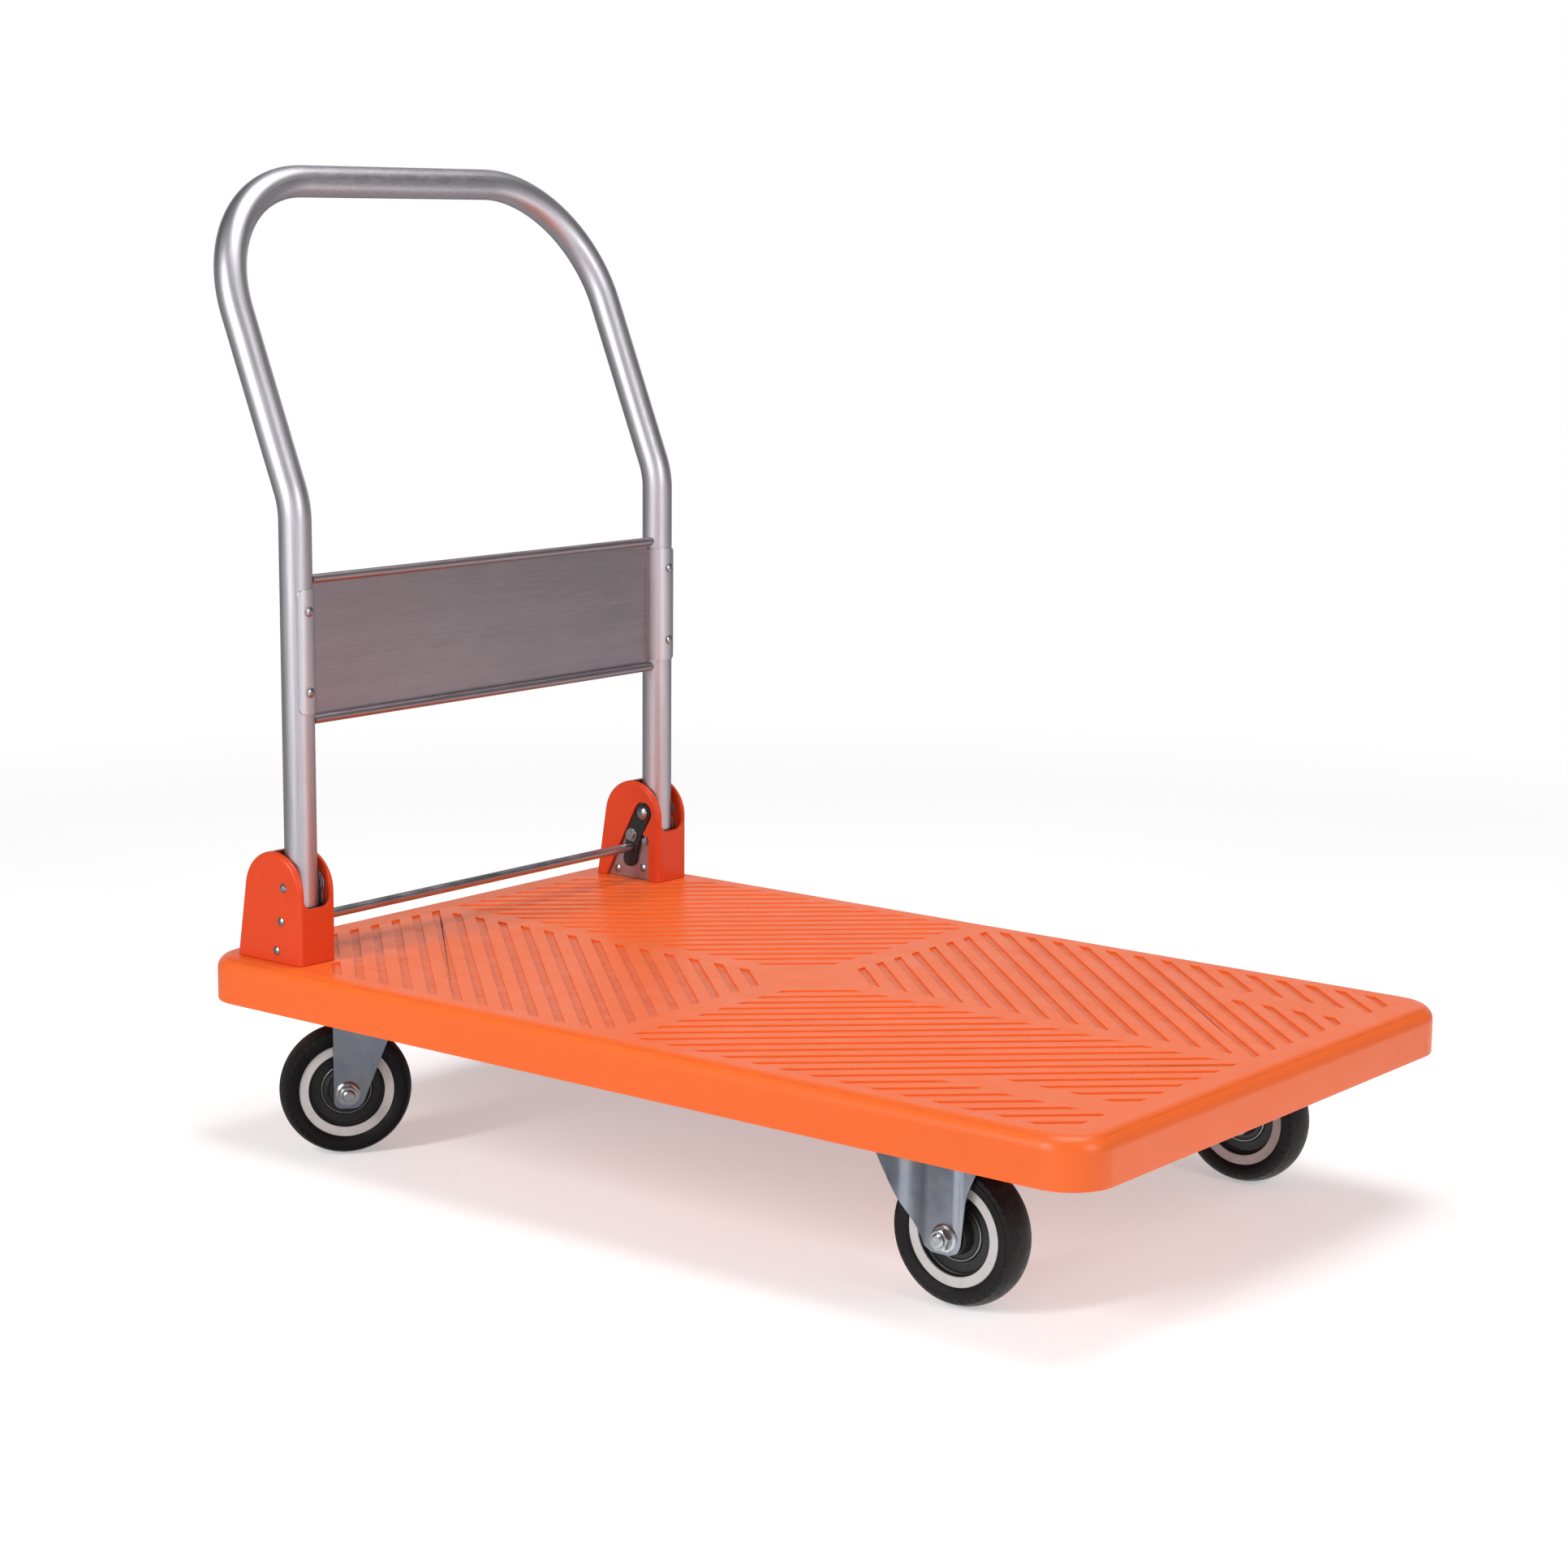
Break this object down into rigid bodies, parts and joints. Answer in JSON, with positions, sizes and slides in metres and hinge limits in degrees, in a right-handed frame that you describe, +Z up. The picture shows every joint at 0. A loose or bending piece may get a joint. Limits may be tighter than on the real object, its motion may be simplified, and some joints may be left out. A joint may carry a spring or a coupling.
{
  "type": "folding platform cart",
  "caption": "Platform cart with a moulded ribbed deck, swivel and rigid casters, and a tubular push handle that folds forward over the deck once a foot bar frees its lock.",
  "frame": {"origin": "on the floor, under the middle of the cart's bounding box with its handle up", "axes": "+X towards the deck's front end, away from the handle; +Y to the left of a person who pushes; +Z up"},
  "size_m": [1.0934, 0.63, 0.964],
  "materials": {
    "deck_plastic": "moulded, light sheen",
    "housing_plastic": "moulded, light sheen",
    "satin_steel": "satin stainless tube",
    "brushed_steel": "brushed stainless sheet",
    "zinc_steel": "bright zinc plate",
    "bright_steel": "bright plated fastener",
    "black_steel": "black, satin",
    "tyre_rubber": "moulded rubber",
    "hub_plastic": "moulded"
  },
  "bodies": {
    "chassis": {"deck": "deck_plastic", "left_hinge_housing": "housing_plastic", "left_hinge_bracket": "brushed_steel", "left_pivot_bolt": "bright_steel", "left_guide_bolt": "bright_steel", "left_housing_screw_1": "bright_steel", "left_housing_screw_2": "bright_steel", "right_hinge_housing": "housing_plastic", "right_hinge_bracket": "brushed_steel", "right_pivot_bolt": "bright_steel", "right_guide_bolt": "bright_steel", "right_housing_screw_1": "bright_steel", "right_housing_screw_2": "bright_steel", "rear_left_plate": "zinc_steel", "rear_left_kingpin": "bright_steel", "rear_right_plate": "zinc_steel", "rear_right_kingpin": "bright_steel", "front_left_fork": "zinc_steel", "front_left_axle_bolt": "bright_steel", "front_left_axle_nut": "bright_steel", "front_left_axle_sleeve": "zinc_steel", "front_right_fork": "zinc_steel", "front_right_axle_bolt": "bright_steel", "front_right_axle_nut": "bright_steel", "front_right_axle_sleeve": "zinc_steel"},
    "handle": {"handle_tube": "satin_steel", "handle_panel": "brushed_steel", "panel_screw_left_upper": "bright_steel", "panel_screw_left_lower": "bright_steel", "panel_screw_right_upper": "bright_steel", "panel_screw_right_lower": "bright_steel", "left_washer_outer": "bright_steel", "left_washer_inner": "bright_steel", "right_washer_outer": "bright_steel", "right_washer_inner": "bright_steel"},
    "lock_yoke": {"foot_bar": "satin_steel", "left_lock_lever": "black_steel", "left_lock_stud": "bright_steel", "right_lock_lever": "black_steel", "right_lock_stud": "bright_steel"},
    "swivel_left": {"rear_left_fork": "zinc_steel", "rear_left_ball_race": "bright_steel", "rear_left_axle_bolt": "bright_steel", "rear_left_axle_nut": "bright_steel", "rear_left_axle_sleeve": "zinc_steel"},
    "rear_wheel_left": {"rear_left_tyre": "tyre_rubber", "rear_left_hub": "hub_plastic"},
    "front_wheel_left": {"front_left_tyre": "tyre_rubber", "front_left_hub": "hub_plastic"},
    "swivel_right": {"rear_right_fork": "zinc_steel", "rear_right_ball_race": "bright_steel", "rear_right_axle_bolt": "bright_steel", "rear_right_axle_nut": "bright_steel", "rear_right_axle_sleeve": "zinc_steel"},
    "rear_wheel_right": {"rear_right_tyre": "tyre_rubber", "rear_right_hub": "hub_plastic"},
    "front_wheel_right": {"front_right_tyre": "tyre_rubber", "front_right_hub": "hub_plastic"}
  },
  "joints": [
    {"name": "handle_fold", "type": "hinge", "parent": "chassis", "child": "handle", "pos_m": [-0.40332, 0, 0.266], "axis": [0, 1, 0], "range_deg": [0, 90]},
    {"name": "lock_press", "type": "hinge", "parent": "chassis", "child": "lock_yoke", "pos_m": [-0.40332, 0, 0.266], "axis": [0, 1, 0], "range_deg": [0, 6], "stiffness_Nm_per_rad": 0.8, "springref_deg": -17.19},
    {"name": "swivel_left", "type": "hinge", "parent": "chassis", "child": "swivel_left", "pos_m": [-0.34032, 0.226, 0.15], "axis": [0, 0, 1], "continuous": true},
    {"name": "rear_spin_left", "type": "hinge", "parent": "swivel_left", "child": "rear_wheel_left", "pos_m": [-0.36149, 0.19939, 0.065], "axis": [-0.7826, 0.6225, 0], "continuous": true},
    {"name": "front_spin_left", "type": "hinge", "parent": "chassis", "child": "front_wheel_left", "pos_m": [0.37468, 0.237, 0.065], "axis": [0, 1, 0], "continuous": true},
    {"name": "swivel_right", "type": "hinge", "parent": "chassis", "child": "swivel_right", "pos_m": [-0.34032, -0.226, 0.15], "axis": [0, 0, 1], "continuous": true},
    {"name": "rear_spin_right", "type": "hinge", "parent": "swivel_right", "child": "rear_wheel_right", "pos_m": [-0.36149, -0.25261, 0.065], "axis": [-0.7826, 0.6225, 0], "continuous": true},
    {"name": "front_spin_right", "type": "hinge", "parent": "chassis", "child": "front_wheel_right", "pos_m": [0.37468, -0.237, 0.065], "axis": [0, 1, 0], "continuous": true}
  ]
}
